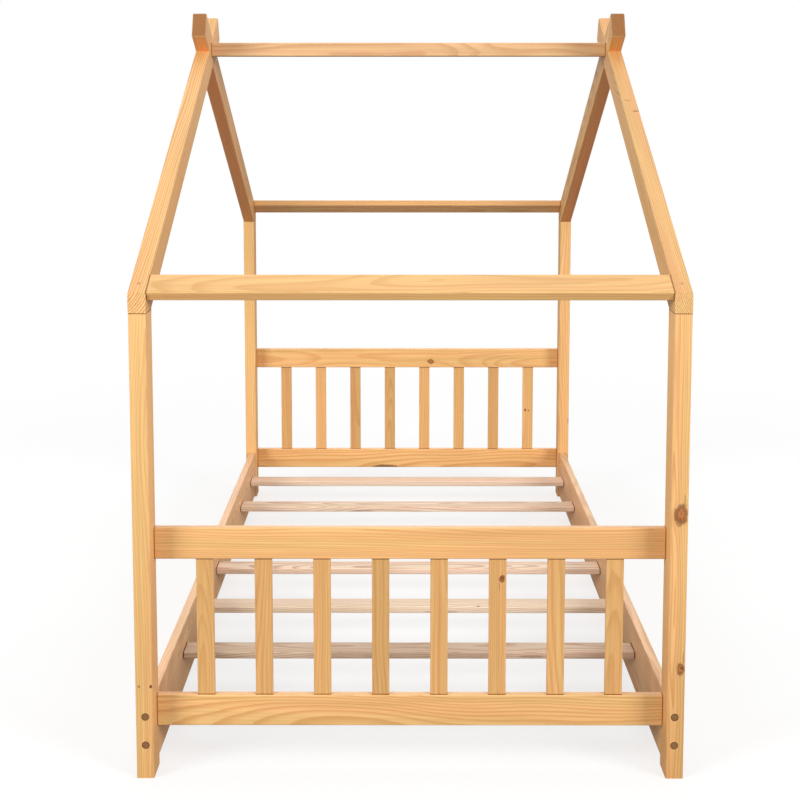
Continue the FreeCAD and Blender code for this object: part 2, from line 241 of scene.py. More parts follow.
def makePineGroup():
    # Growth rings about a wandering pith, fibres, slow tone changes, knots, end grain and worn edges
    tree, given, result = startGroup(
        "pineBoard", "ShaderNodeTree",
        [("Vector", vectorSocket, None), ("Seed", floatSocket, 0.0),
         ("Early Wood", colourSocket, None), ("Late Wood", colourSocket, None),
         ("Ring Spacing", floatSocket, 0.004), ("Figure", floatSocket, 0.6), ("Tone", floatSocket, 0.0),
         ("Knot Core", floatSocket, 0.0), ("Knot Rim", floatSocket, 0.0), ("Seam", floatSocket, 0.0),
         ("End Grain", floatSocket, 0.0), ("End Colour", colourSocket, None), ("Edge", floatSocket, 0.0),
         ("Bare", floatSocket, 0.0)],
        [("Color", colourSocket, None), ("Roughness", floatSocket, None), ("Height", floatSocket, None)])
    luck = addNamed(tree, "ShaderNodeTexWhiteNoise", {"W": given["Seed"]}, noise_dimensions="1D")
    draws = addNode(tree, "ShaderNodeSeparateColor", luck.outputs["Color"]).outputs
    pith = addNode(tree, "ShaderNodeCombineXYZ",
                   *[maths(tree, "MULTIPLY_ADD", draws[k], *pineGrain["pith"][k]) for k in range(3)])
    place = vectorMaths(tree, "ADD", given["Vector"], pith.outputs[0])

    def stretchedNoise(name, detail=2.0, roughness=0.5):
        stretched = vectorMaths(tree, "MULTIPLY", place, pineGrain[name + "Stretch"])
        return noiseTexture(tree, stretched, 1.0, detail, roughness)

    def centred(noise, size):
        shifted = vectorMaths(tree, "SUBTRACT", noise["Color"], (0.5, 0.5, 0.5))
        return vectorMaths(tree, "MULTIPLY", shifted, (size,) * 3)

    wander = centred(stretchedNoise("wander", 1.0), pineGrain["wander"])
    ripple = centred(stretchedNoise("ripple"), pineGrain["ripple"])
    ringPlace = vectorMaths(tree, "ADD", vectorMaths(tree, "ADD", place, wander), ripple)
    radius = vectorMaths(tree, "LENGTH", vectorMaths(tree, "MULTIPLY", ringPlace, (0.0, 1.0, 1.0)))
    yearPlace = maths(tree, "MULTIPLY", radius, pineGrain["yearScale"])
    years = addNamed(tree, "ShaderNodeTexNoise", {"W": yearPlace, "Scale": 1.0, "Detail": 1.0},
                     noise_dimensions="1D")
    phase = maths(tree, "ADD", maths(tree, "DIVIDE", radius, given["Ring Spacing"]),
                  maths(tree, "MULTIPLY", years.outputs["Fac"], pineGrain["yearShift"]))
    year = maths(tree, "FRACT", phase)
    late = maths(tree, "MULTIPLY", smoothStep(tree, year, *pineGrain["lateWood"]),
                 smoothStep(tree, year, *pineGrain["winter"]))

    fibre = stretchedNoise("fibre", 2.0, 0.6)["Fac"]
    strands = stretchedNoise("strand")["Fac"]
    cloud = stretchedNoise("cloud")["Fac"]

    figure = maths(tree, "MULTIPLY", maths(tree, "MULTIPLY", late, given["Figure"]),
                   maths(tree, "MULTIPLY_ADD", strands, *pineGrain["strandFigure"]))
    endBoost = maths(tree, "MULTIPLY_ADD", given["End Grain"], *pineGrain["endFigure"])
    figure = maths(tree, "MULTIPLY", figure, endBoost, clamp=True)
    wood = mixColour(tree, "MIX", figure, given["Early Wood"], given["Late Wood"])
    light = maths(tree, "ADD", 1.0, given["Tone"])
    for noise, name in ((strands, "strandLight"), (fibre, "fibreLight"), (cloud, "cloudLight")):
        light = maths(tree, "MULTIPLY", light, maths(tree, "MULTIPLY_ADD", noise, *pineGrain[name]))
    shade = addNode(tree, "ShaderNodeCombineColor", light,
                    maths(tree, "POWER", light, pineGrain["greenPower"]),
                    maths(tree, "POWER", light, pineGrain["bluePower"]))
    wood = mixColour(tree, "MULTIPLY", 1.0, wood, shade.outputs[0])
    hue = smoothStep(tree, stretchedNoise("hue", 1.0)["Fac"], *pineGrain["hueRange"])
    tint = mixColour(tree, "MIX", hue, pineGrain["warm"], pineGrain["cool"])
    wood = mixColour(tree, "MULTIPLY", pineGrain["hueShare"], wood, tint)
    for mask, (blend, share, colour) in woodTints.items():
        strength = maths(tree, "MULTIPLY", given[mask], share)
        wood = mixColour(tree, blend, strength, wood, colour or given["End Colour"])
    feed(tree, result["Color"], wood)
    rough = maths(tree, "MULTIPLY_ADD", fibre, *pineGrain["roughness"])
    for mask, rise in duller.items():
        rough = maths(tree, "MULTIPLY_ADD", given[mask], rise, rough)
    feed(tree, result["Roughness"], rough)
    relief = maths(tree, "SUBTRACT", maths(tree, "ADD", late, fibre), given["Knot Rim"])
    feed(tree, result["Height"], maths(tree, "MULTIPLY", relief, pineGrain["relief"]))
    return tree


edgeLook = {"breakUpScale": 35.0, "breakUp": (0.3, 0.65), "halfway": 0.01, "seamShade": (0.0026, 0.0008)}


def makeEdgeGroup():
    # How near a point is to an edge of its board or to a jointed end, from its place and the half sizes: the
    # worn edge, lighter from wear and a painted highlight, and the painted shade in the joints
    tree, given, result = startGroup(
        "edgeWearSheenAndSeamShade", "ShaderNodeTree",
        [("Vector", vectorSocket, None), ("Half Size", vectorSocket, (1, 1, 1)),
         ("Width", floatSocket, 0.003), ("Low Joint", floatSocket, 0.0), ("High Joint", floatSocket, 0.0),
         ("Joint Depth", floatSocket, 0.0)],
        [("Edge", floatSocket, None), ("Seam", floatSocket, None)])
    inset = vectorMaths(tree, "SUBTRACT", given["Half Size"], vectorMaths(tree, "ABSOLUTE", given["Vector"]))
    parts = addNode(tree, "ShaderNodeSeparateXYZ", inset).outputs
    near = [smoothStep(tree, part, given["Width"], 0.0) for part in parts]
    pairs = [maths(tree, "MINIMUM", near[a], near[b]) for a, b in ((1, 2), (0, 1), (0, 2))]
    edge = maths(tree, "MAXIMUM", maths(tree, "MAXIMUM", pairs[0], pairs[1]), pairs[2])
    breakUpNoise = noiseTexture(tree, given["Vector"], edgeLook["breakUpScale"])["Fac"]
    wornAndSheen = smoothStep(tree, breakUpNoise, *edgeLook["breakUp"])
    feed(tree, result["Edge"], maths(tree, "MULTIPLY", edge, wornAndSheen))
    along = addNode(tree, "ShaderNodeSeparateXYZ", given["Vector"]).outputs[0]
    upperHalf = smoothStep(tree, along, -edgeLook["halfway"], edgeLook["halfway"])
    joint = mixFloat(tree, upperHalf, given["Low Joint"], given["High Joint"])
    past = maths(tree, "SUBTRACT", parts[0], given["Joint Depth"])
    feed(tree, result["Seam"], maths(tree, "MULTIPLY", joint, smoothStep(tree, past, *edgeLook["seamShade"])))
    return tree


knotGroup = makeKnotGroup()
pineGroup = makePineGroup()
edgeGroup = makeEdgeGroup()
markGroup = makeMarkGroup()
print("shared finish groups built")


# Wood finish for one board

pineTones = {
    "lacquered": {"early": paint(234, 185, 124), "late": paint(206, 143, 82)},
    "pinkish": {"early": paint(236, 191, 146), "late": paint(208, 149, 104)},
    "slat": {"early": paint(238, 216, 197), "late": paint(202, 162, 140)},
}
endColours = {"pale": (1.1, 1.22, 1.34, 1.0), "plain": paint(220, 196, 172),
              "dark": (0.45, 0.355, 0.275, 1.0)}
plainBoard = {"kind": "lacquered", "ring": 0.004, "figure": 0.6, "tone": 0.0, "drift": 0.0, "lean": 0.0,
              "knots": (), "marks": (), "coat": 0.12, "bare": 0.0, "underside": None, "lowEnd": "plain",
              "highEnd": "plain", "joints": (0.0, 0.0), "housed": 0.0, "rowAxis": 0}
boardSurface = {"relief": 0.35, "reliefDepth": 0.0004, "specular": 0.4, "bareSpecular": 0.15,
                "coatRoughness": 0.3, "leastKnot": 0.00002, "endTurn": (-0.1, 0.1), "endFace": (0.5, 0.8),
                "underFace": (-0.5, -0.8), "hornBlend": 0.02}


def mark(at, size, strength, only=None):
    # centre and half lengths along, across and through the board; only = where in a row the marked one stands
    return {"at": at, "size": size, "strength": strength, "only": only}


def onlyNear(tree, axis, spot, reach=0.03):
    # 1 on the one board of a row that stands at this X or Y
    here = addNode(tree, "ShaderNodeSeparateXYZ", objectPlace(tree)).outputs[axis]
    away = maths(tree, "ABSOLUTE", maths(tree, "SUBTRACT", here, spot))
    return smoothStep(tree, away, reach + 0.001, reach)


def pineMaterial(name, place, seed, grainAxis, halfSize, ownLook):
    # place and seed are functions of the tree, giving the board's own coordinates and random seed
    look = {**plainBoard, **ownLook}
    material, tree, shader = newMaterial(name)
    start = place(tree)
    position, core, dark = start, 0.0, 0.0
    for along, across, radius, *only in look["knots"]:
        if only:
            chosen = onlyNear(tree, look["rowAxis"], only[0])
            radius = maths(tree, "MULTIPLY_ADD", chosen, radius, boardSurface["leastKnot"])
        knot = placeGroup(tree, knotGroup, Vector=position, Centre=(along, across, 0.0), Radius=radius)
        position = knot["Vector"]
        core = maths(tree, "MAXIMUM", core, knot["Core"])
        dark = maths(tree, "MAXIMUM", dark, knot["Rim"])
    # marks darken like knot rims: stains and pin holes, and painted shade at the slats' mortises and over one
    # slat
    for spot in look["marks"]:
        mask = placeGroup(tree, markGroup, Vector=start, Centre=spot["at"], Size=spot["size"])["Mask"]
        mask = maths(tree, "MULTIPLY", mask, spot["strength"])
        if spot["only"] is not None:
            mask = maths(tree, "MULTIPLY", mask, onlyNear(tree, look["rowAxis"], spot["only"]))
        dark = maths(tree, "MAXIMUM", dark, mask)
    facing = addNode(tree, "ShaderNodeTexCoord").outputs["Normal"]
    endwise = vectorMaths(tree, "DOT_PRODUCT", facing, tuple(grainAxis))
    endColour = mixColour(tree, "MIX", smoothStep(tree, endwise, *boardSurface["endTurn"]),
                          endColours[look["lowEnd"]], endColours[look["highEnd"]])
    endFace = smoothStep(tree, maths(tree, "ABSOLUTE", endwise), *boardSurface["endFace"])
    edges = placeGroup(tree, edgeGroup, Vector=start, Half_Size=halfSize, Low_Joint=look["joints"][0],
                       High_Joint=look["joints"][1], Joint_Depth=look["housed"])
    # painted shade along the jointed ends, kept off the end faces
    seamShade = maths(tree, "MULTIPLY", edges["Seam"], maths(tree, "SUBTRACT", 1.0, endFace))
    lengthwise = addNode(tree, "ShaderNodeSeparateXYZ", start).outputs[0]
    boardTone = maths(tree, "MULTIPLY_ADD", lengthwise, look["drift"] / halfSize[0], look["tone"])
    leaning = addNamed(tree, "ShaderNodeVectorRotate", {"Vector": position, "Angle": look["lean"]},
                       rotation_type="Z_AXIS")
    tones = pineTones[look["kind"]]
    wood = placeGroup(tree, pineGroup, Vector=leaning.outputs[0], Seed=seed(tree), Early_Wood=tones["early"],
                      Late_Wood=tones["late"], Ring_Spacing=look["ring"], Figure=look["figure"],
                      Tone=boardTone, Knot_Core=core, Knot_Rim=dark, Seam=seamShade, Edge=edges["Edge"],
                      End_Colour=endColour, End_Grain=endFace, Bare=look["bare"])
    colour = wood["Color"]
    # painted shade on the rafter's down-facing faces, painted light on its horn's underside
    if look["underside"]:
        underShading = look["underside"]
        hornStart = halfSize[0] - underShading["hornLength"]
        onHorn = smoothStep(tree, lengthwise, hornStart, hornStart + boardSurface["hornBlend"])
        tint = mixColour(tree, "MIX", onHorn, underShading["rafter"], underShading["horn"])
        upward = addNode(tree, "ShaderNodeSeparateXYZ", facing).outputs[2]
        below = smoothStep(tree, upward, *boardSurface["underFace"])
        colour = mixColour(tree, "MULTIPLY", below, colour, tint)
    feed(tree, shader.inputs["Base Color"], colour)
    feed(tree, shader.inputs["Roughness"], wood["Roughness"])
    addRelief(tree, shader, wood["Height"], boardSurface["relief"], boardSurface["reliefDepth"])
    gloss = boardSurface["bareSpecular"] if look["bare"] else boardSurface["specular"]
    shader.inputs["Specular IOR Level"].default_value = gloss
    shader.inputs["Coat Weight"].default_value = look["coat"]
    shader.inputs["Coat Roughness"].default_value = boardSurface["coatRoughness"]
    return material


# Frame timbers and boards: which way each one's grain and width run, and its own look

roofPitch = math.radians(26.6)
alongX, alongY, alongZ = Vector((1, 0, 0)), Vector((0, 1, 0)), Vector((0, 0, 1))
footSlope = Vector((0, math.cos(roofPitch), math.sin(roofPitch)))    # up the roof from either end
headSlope = Vector((0, -math.cos(roofPitch), math.sin(roofPitch)))
headRoofFace = Vector((0, math.sin(roofPitch), math.cos(roofPitch)))

through = 9.0   # depth of a mark that goes right through its board
# painted light and shade on down-facing faces: rafter undersides painted darker and redder as shade, horn
# undersides painted lighter as light from the front
undersideTints = {"rafter": paint(247, 212, 191), "horn": (1.28, 1.09, 0.91, 1.0), "hornLength": 0.15}

post = {"grain": alongZ, "width": alongX, "joints": (0, 1)}
footRafter = {"grain": footSlope, "width": alongX, "lowEnd": "pale", "highEnd": "dark"}
# the head rafters' drift of -0.05 is painted shade, darker towards the horn end
headRafter = {"grain": headSlope, "width": alongX, "lowEnd": "pale", "highEnd": "dark", "drift": -0.05,
              "underside": undersideTints}
crossBoard = {"grain": alongX, "width": alongZ, "joints": (1, 1)}
sideBoard = {"grain": alongY, "width": alongZ, "joints": (1, 1), "kind": "pinkish"}

boards = {
    # the posts' drift makes them darker towards the bottom
    "foot_left_post": dict(post, figure=0.4, tone=-0.012, drift=0.115, marks=[
        mark((-0.272, 0.0133, -0.032), (0.0038, 0.0034, 0.006), 1.2),     # pin holes
        mark((-0.272, -0.0096, -0.032), (0.003, 0.0027, 0.006), 0.8)]),
    "foot_right_post": dict(post, figure=0.6, tone=-0.035, drift=0.14, knots=[
        (0.069, 0.0025, 0.0105), (-0.236, 0.0085, 0.0062)], marks=[
        mark((-0.234, 0.0105, -0.032), (0.0045, 0.0048, 0.006), 0.95),    # the knots' dark hearts and tails
        mark((-0.216, 0.0125, -0.032), (0.016, 0.0016, 0.006), 0.5),
        mark((0.094, 0.0095, -0.032), (0.017, 0.0018, 0.006), 0.5)]),
    "head_left_post": dict(post, figure=0.4),
    "head_right_post": dict(post, figure=0.5, marks=[
        mark((-0.202, 0.0155, -0.032), (0.012, 0.0032, 0.01), 0.6)]),
    "foot_left_rafter": dict(footRafter, figure=0.85, ring=0.0045, tone=-0.05, lean=-0.028),
    "foot_right_rafter": dict(footRafter, figure=0.8, tone=-0.06, lean=0.012, marks=[
        mark((0.169, -0.003, 0.0), (0.0026, 0.0085, through), 0.65),
        mark((0.115, 0.0085, 0.0), (0.0036, 0.008, through), 0.95)]),
    "head_left_rafter": dict(headRafter, figure=0.6),
    "head_right_rafter": dict(headRafter, width=headRoofFace, figure=0.75),
    "ridge_beam": dict(crossBoard, figure=0.5, kind="pinkish", tone=-0.11),
    "foot_eave_beam": dict(crossBoard, width=footSlope, figure=0.42, tone=-0.08),
    "head_eave_beam": dict(crossBoard, width=headSlope, figure=0.5),
    "footboard_top_rail": dict(crossBoard, figure=0.5, tone=0.03),
    "footboard_bottom_rail": dict(crossBoard, figure=0.62, tone=-0.04, seed=31.5, lean=0.02),
    "headboard_top_rail": dict(crossBoard, figure=0.42, knots=[(0.078, -0.011, 0.006)]),
    "headboard_bottom_rail": dict(crossBoard, figure=0.7, tone=-0.02, marks=[
        mark((-0.074, -0.029, 0.0), (0.05, 0.0085, through), 1.0)]),      # wane on the lower edge
    "left_side_rail": dict(sideBoard, figure=0.5),
    "right_side_rail": dict(sideBoard, figure=0.6, tone=-0.06),
}


def middle(name, axis):
    low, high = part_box(name)
    return (low[axis] + high[axis]) / 2


# Painted shade on the inner faces of both side rails, as dark narrow gaps on the foot side of the slats'
# mortises
slatNames = sorted(name for name in nodes if name.startswith("slat_"))
slotGapShade = {"beyond": 0.0315, "above": 0.0075, "innerFace": 0.0095, "size": (0.0055, 0.0085, 0.004),
           "strength": 0.9}
for railName, inward in (("left_side_rail", 1), ("right_side_rail", -1)):
    boards[railName]["marks"] = [
        mark((middle(name, 1) - slotGapShade["beyond"], slotGapShade["above"], inward * slotGapShade["innerFace"]),
             slotGapShade["size"], slotGapShade["strength"]) for name in slatNames]


def boardPlace(axes, centre):
    def place(tree):
        mapping = addNamed(tree, "ShaderNodeMapping",
                           {"Vector": objectPlace(tree), "Rotation": axes.to_euler("XYZ"),
                            "Location": -(axes @ centre)}, vector_type="POINT")
        return mapping.outputs[0]
    return place


def centreAndHalfSize(name, axes):
    points = [axes @ vertex.co for vertex in nodes[name].data.vertices]
    low = Vector([min(point[k] for point in points) for k in range(3)])
    high = Vector([max(point[k] for point in points) for k in range(3)])
    return axes.transposed() @ ((low + high) / 2), (high - low) / 2


def setMaterial(piece, material):
    piece.data.materials.clear()
    piece.data.materials.append(material)


for number, (name, look) in enumerate(boards.items()):
    axes = Matrix((look["grain"], look["width"], look["grain"].cross(look["width"])))
    centre, halfSize = centreAndHalfSize(name, axes)
    ownSeed = look.get("seed", number + 1.5)
    setMaterial(nodes[name], pineMaterial(name + "_pine", boardPlace(axes, centre),
                                          lambda tree, own=ownSeed: own, axes[0], halfSize, look))
print("boards finished:", len(boards))


# Slats and balusters: rows of boards with rounded long edges, each with its own place and seed

slatRow = {
    "round": 0.002, "segments": 5, "seed": 4, "figure": 0.85, "ring": 0.0042, "kind": "slat", "coat": 0.0,
    "bare": 1.0, "housed": 0.012, "joints": (1.6, 1.6), "rowAxis": 1,
    # slat number from the foot, place, half lengths, strength
    # the first mark darkens all of slat 2 as painted shade from the footboard
    "marks": [(2, (0, 0, 0), (2.0, 0.2, through), 0.27),
              (2, (0.272, -0.029, -0.002), (0.042, 0.0034, 0.0035), 0.7),
              (3, (0.168, -0.023, 0.004), (0.0065, 0.0055, 0.006), 1.0),
              (3, (0.08, -0.028, -0.004), (0.07, 0.003, 0.0035), 0.6),
              (6, (-0.14, -0.029, -0.005), (0.05, 0.003, 0.0035), 0.5)],
}
balusterRow = {"round": 0.002, "segments": 5, "figure": 0.5, "ring": 0.0042, "housed": 0.012,
               "joints": (1, 1)}
wholeBar = (0, 0, 0), (2.0, 2.0, through)
balusterRows = {
    "footboard": dict(
        balusterRow, seed=11, tone=-0.14, knots=[(6, 0.097, 0.0085, 0.0042)],
        marks=[(6, (0.099, 0.0085, -0.006), (0.004, 0.005, 0.004), 0.9),
               (6, (0.083, 0.0035, 0.0), (0.013, 0.0016, through), 0.4),
               (6, (-0.15, 0.002, 0.0), (0.022, 0.0026, through), 0.35),
               (4, *wholeBar, 0.07), (8, *wholeBar, 0.05)]),
    "headboard": dict(
        balusterRow, seed=23, tone=-0.07,
        marks=[(8, (-0.006, -0.008, 0.0), (0.0055, 0.004, through), 1.1),
               (8, (-0.008, 0.003, 0.0), (0.004, 0.003, through), 0.9),
               (1, *wholeBar, 0.14), (3, *wholeBar, 0.24), (4, *wholeBar, 0.24), (7, *wholeBar, 0.22),
               (8, *wholeBar, 0.12)]),
}
storedPlace, storedSeed, seedRange = "boardPlace", "boardSeed", 100.0


def storePlace(tree, shape):
    position = tree.nodes.new("GeometryNodeInputPosition").outputs[0]
    return addNamed(tree, "GeometryNodeStoreNamedAttribute",
                    {"Geometry": shape, "Name": storedPlace, "Value": position},
                    data_type="FLOAT_VECTOR").outputs[0]


def finishInstances(tree, instances, given):
    # a stored seed for each copy, then real geometry with its material
    luck = addNode(tree, "FunctionNodeRandomValue", data_type="FLOAT")
    for name, value in (("Max", seedRange), ("Seed", given["Seed"])):
        feed(tree, [s for s in luck.inputs if s.name == name and s.enabled][0], value)
    seeded = addNamed(tree, "GeometryNodeStoreNamedAttribute",
                      {"Geometry": instances, "Name": storedSeed,
                       "Value": [s for s in luck.outputs if s.enabled][0]},
                      data_type="FLOAT", domain="INSTANCE")
    solid = addNode(tree, "GeometryNodeRealizeInstances", seeded.outputs[0])
    return addNamed(tree, "GeometryNodeSetMaterial",
                    {"Geometry": solid.outputs[0], "Material": given["Material"]}).outputs[0]


def makeRowTree():
    # One board along Z with rounded edges, set out in a row and turned by Rotation
    tree, given, result = startGroup(
        "boardRow", "GeometryNodeTree",
        [("Count", wholeSocket, 7), ("Start", vectorSocket, None), ("Step", vectorSocket, None),
         ("Rotation", "NodeSocketRotation", None), ("Length", floatSocket, 1.0), ("Width", floatSocket, 0.06),
         ("Thickness", floatSocket, 0.015), ("Round", floatSocket, 0.002), ("Segments", wholeSocket, 5),
         ("Seed", wholeSocket, 1), ("Material", finishSocket, None)],
        [("Geometry", shapeSocket, None)])
    halfLength = maths(tree, "MULTIPLY", given["Length"], 0.5)
    lowEnd = addNode(tree, "ShaderNodeCombineXYZ", 0.0, 0.0, maths(tree, "MULTIPLY", halfLength, -1.0))
    highEnd = addNode(tree, "ShaderNodeCombineXYZ", 0.0, 0.0, halfLength)
    line = addNode(tree, "GeometryNodeCurvePrimitiveLine", lowEnd.outputs[0], highEnd.outputs[0])
    section = addNamed(tree, "GeometryNodeCurvePrimitiveQuadrilateral",
                       {"Width": given["Width"], "Height": given["Thickness"]})
    rounded = addNode(tree, "GeometryNodeFilletCurve", mode="POLY")
    for name, value in (("Curve", section.outputs[0]), ("Count", given["Segments"]),
                        ("Radius", given["Round"])):
        feed(tree, rounded.inputs[name], value)
    board = addNamed(tree, "GeometryNodeCurveToMesh",
                     {"Curve": line.outputs[0], "Profile Curve": rounded.outputs[0], "Fill Caps": True})
    row = addNamed(tree, "GeometryNodeMeshLine",
                   {"Count": given["Count"], "Start Location": given["Start"], "Offset": given["Step"]})
    copies = addNamed(tree, "GeometryNodeInstanceOnPoints",
                      {"Points": row.outputs[0], "Instance": storePlace(tree, board.outputs[0]),
                       "Rotation": given["Rotation"]})
    feed(tree, result["Geometry"], finishInstances(tree, copies.outputs[0], given))
    return tree


def growPiece(name, tree, values, points=()):
    # runs the tree once, on loose points if it needs them, and keeps the result as a plain mesh
    source = bpy.data.meshes.new(name + "_source")
    source.from_pydata(points, [], [])
    carrier = bpy.data.objects.new(name + "_source", source)
    bpy.context.scene.collection.objects.link(carrier)
    modifier = carrier.modifiers.new("grow", "NODES")
    modifier.node_group = tree
    for item in tree.interface.items_tree:
        if item.item_type == "SOCKET" and item.in_out == "INPUT" and item.name in values:
            modifier[item.identifier] = values[item.name]
    evaluated = carrier.evaluated_get(bpy.context.evaluated_depsgraph_get())
    mesh = bpy.data.meshes.new_from_object(evaluated)
    carrier.modifiers.remove(modifier)
    bpy.data.objects.remove(carrier)
    mesh.name = name
    mesh.materials.clear()   # the primitives' empty slots go with the rest
    mesh.materials.append(values["Material"])
    mesh.polygons.foreach_set("material_index", [0] * len(mesh.polygons))
    piece = bpy.data.objects.new(name, mesh)
    bpy.context.scene.collection.objects.link(piece)
    return piece


def storedBoardPlace(tree):
    # stored with the length along Z: turned so that the grain runs along the board's first axis
    stored = addNode(tree, "ShaderNodeAttribute", attribute_name=storedPlace).outputs["Vector"]
    parts = addNode(tree, "ShaderNodeSeparateXYZ", stored).outputs
    return addNode(tree, "ShaderNodeCombineXYZ", parts[2], parts[0], parts[1]).outputs[0]


def storedBoardSeed(tree):
    return addNode(tree, "ShaderNodeAttribute", attribute_name=storedSeed).outputs["Fac"]


def rowOfBoards(name, memberNames, turn, grainAxis, look):
    # fills the places of the CAD boards with a grown row of the same size
    low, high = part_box(memberNames[0])
    lastLow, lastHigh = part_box(memberNames[-1])
    start, end = (low + high) / 2, (lastLow + lastHigh) / 2
    width, thickness, length = [abs(value) for value in turn.to_matrix().transposed() @ (high - low)]

    def standsAt(number):
        return middle(memberNames[number - 1], look.get("rowAxis", 0))

    ownLook = dict(look)
    ownLook["knots"] = [(*knot, standsAt(number)) for number, *knot in look.get("knots", ())]
    ownLook["marks"] = [mark(*spot, standsAt(number)) for number, *spot in look["marks"]]
    material = pineMaterial(name + "_pine", storedBoardPlace, storedBoardSeed, grainAxis,
                            (length / 2, width / 2, thickness / 2), ownLook)
    piece = growPiece(name, rowTree, {
        "Count": len(memberNames), "Start": start, "Step": (end - start) / (len(memberNames) - 1),
        "Rotation": turn.to_euler("XYZ"), "Length": length, "Width": width, "Thickness": thickness,
        "Round": look["round"], "Segments": look["segments"], "Seed": look["seed"], "Material": material})
    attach(piece, "root")
    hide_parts(*memberNames)


rowTree = makeRowTree()
upright = Matrix.Identity(3).to_quaternion()
lyingAcross = Matrix((alongY, alongZ, alongX)).transposed().to_quaternion()
rowOfBoards("slats", slatNames, lyingAcross, alongX, slatRow)
for endName, look in balusterRows.items():
    barNames = sorted(name for name in nodes if name.startswith(f"{endName}_baluster_"))
    rowOfBoards(f"{endName}_balusters", barNames, upright, alongZ, look)
print("slats and balusters grown")


# Plugs over the bed bolts: turned discs with a small chamfer, each with its grain at its own angle

boltPlugs = {
    "across": 0.5125, "heights": (0.067, 0.124), "outerFace": 1.023, "radius": 0.0075, "thickness": 0.004,
    "chamfer": 0.0004, "sides": 32, "seed": 6, "light": paint(152, 110, 62), "dark": paint(104, 68, 32),
    # rim colour and reach: painted shade round each plug's edge
    "rim": paint(76, 42, 18), "rimShare": 0.75, "rimFrom": 0.72, "rimTo": 0.95,
    "streaks": (220.0, 1400.0, 220.0), "streakEdge": (0.32, 0.68), "roughness": (0.15, 0.5), "relief": 0.5,
    "reliefDepth": 0.0003,
}


def makePlugTree():
    tree, given, result = startGroup(
        "plugSet", "GeometryNodeTree",
        [("Geometry", shapeSocket, None), ("Radius", floatSocket, 0.0075), ("Thickness", floatSocket, 0.004),
         ("Chamfer", floatSocket, 0.0004), ("Sides", wholeSocket, 32), ("Seed", wholeSocket, 1),
         ("Material", finishSocket, None)],
        [("Geometry", shapeSocket, None)])
    straight = maths(tree, "SUBTRACT", given["Thickness"], given["Chamfer"])
    disc = addNamed(tree, "GeometryNodeMeshCylinder",
                    {"Vertices": given["Sides"], "Radius": given["Radius"], "Depth": straight})
    drop = maths(tree, "MULTIPLY_ADD", straight, -0.5, maths(tree, "MULTIPLY", given["Chamfer"], -1.0))
    down = addNode(tree, "ShaderNodeCombineXYZ", 0.0, 0.0, drop).outputs[0]   # outer face to the origin
    sunk = addNamed(tree, "GeometryNodeTransform", {"Geometry": disc.outputs["Mesh"], "Translation": down})
    lip = addNamed(tree, "GeometryNodeExtrudeMesh",
                   {"Mesh": sunk.outputs[0], "Selection": disc.outputs["Top"],
                    "Offset Scale": given["Chamfer"]})
    smaller = maths(tree, "SUBTRACT", 1.0, maths(tree, "DIVIDE", given["Chamfer"], given["Radius"]))
    narrow = addNamed(tree, "GeometryNodeScaleElements",
                      {"Geometry": lip.outputs["Mesh"], "Selection": lip.outputs["Top"], "Scale": smaller})
    where = tree.nodes.new("GeometryNodeInputPosition").outputs[0]
    endSide = addNode(tree, "ShaderNodeSeparateXYZ", where).outputs[1]
    outward = addNode(tree, "ShaderNodeCombineXYZ", 0.0, endSide, 0.0)
    facing = addNamed(tree, "FunctionNodeAlignRotationToVector", {"Vector": outward.outputs[0]}, axis="Z")
    copies = addNamed(tree, "GeometryNodeInstanceOnPoints",
                      {"Points": given["Geometry"], "Instance": storePlace(tree, narrow.outputs[0]),
                       "Rotation": facing.outputs[0]})
    feed(tree, result["Geometry"], finishInstances(tree, copies.outputs[0], given))
    return tree


def plugMaterial(name):
    # cross-cut face with its own streak direction and a dark line round the rim, painted shade of the
    # hairline gap round the plug
    material, tree, shader = newMaterial(name)
    stored = addNode(tree, "ShaderNodeAttribute", attribute_name=storedPlace).outputs["Vector"]
    seed = storedBoardSeed(tree)
    turned = addNamed(tree, "ShaderNodeVectorRotate", {"Vector": stored, "Angle": seed},
                      rotation_type="Z_AXIS")
    shift = addNode(tree, "ShaderNodeCombineXYZ", seed).outputs[0]
    shifted = vectorMaths(tree, "ADD", turned.outputs[0], shift)
    stretched = vectorMaths(tree, "MULTIPLY", shifted, boltPlugs["streaks"])
    streak = smoothStep(tree, noiseTexture(tree, stretched, detail=3.0)["Fac"], *boltPlugs["streakEdge"])
    reach = vectorMaths(tree, "LENGTH", vectorMaths(tree, "MULTIPLY", stored, (1.0, 1.0, 0.0)))
    rim = smoothStep(tree, reach, boltPlugs["radius"] * boltPlugs["rimFrom"],
                     boltPlugs["radius"] * boltPlugs["rimTo"])
    wood = mixColour(tree, "MIX", streak, boltPlugs["dark"], boltPlugs["light"])
    rimShade = maths(tree, "MULTIPLY", rim, boltPlugs["rimShare"])
    feed(tree, shader.inputs["Base Color"], mixColour(tree, "MIX", rimShade, wood, boltPlugs["rim"]))
    feed(tree, shader.inputs["Roughness"], maths(tree, "MULTIPLY_ADD", streak, *boltPlugs["roughness"]))
    addRelief(tree, shader, streak, boltPlugs["relief"], boltPlugs["reliefDepth"])
    return material


plugSpots = [(side * boltPlugs["across"], end * boltPlugs["outerFace"], height)
             for end in (-1, 1) for side in (-1, 1) for height in boltPlugs["heights"]]
plugs = growPiece("bolt_plug_set", makePlugTree(), {
    "Radius": boltPlugs["radius"], "Thickness": boltPlugs["thickness"], "Chamfer": boltPlugs["chamfer"],
    "Sides": boltPlugs["sides"], "Seed": boltPlugs["seed"],
    "Material": plugMaterial("bolt_plug_end_grain")}, plugSpots)
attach(plugs, "root")
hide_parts("bolt_plugs")
print("bolt plugs grown")


# Small plugs, dowels and metal fastenings: CAD shapes with their own finishes

smallWood = {"stretch": (900.0, 900.0, 30.0), "roughness": (0.2, 0.45), "relief": 0.4, "reliefDepth": 0.0003}
zincPlate = {"dark": paint(168, 168, 164), "light": paint(216, 214, 206), "scale": 260.0,
             "roughness": (0.25, 0.22)}


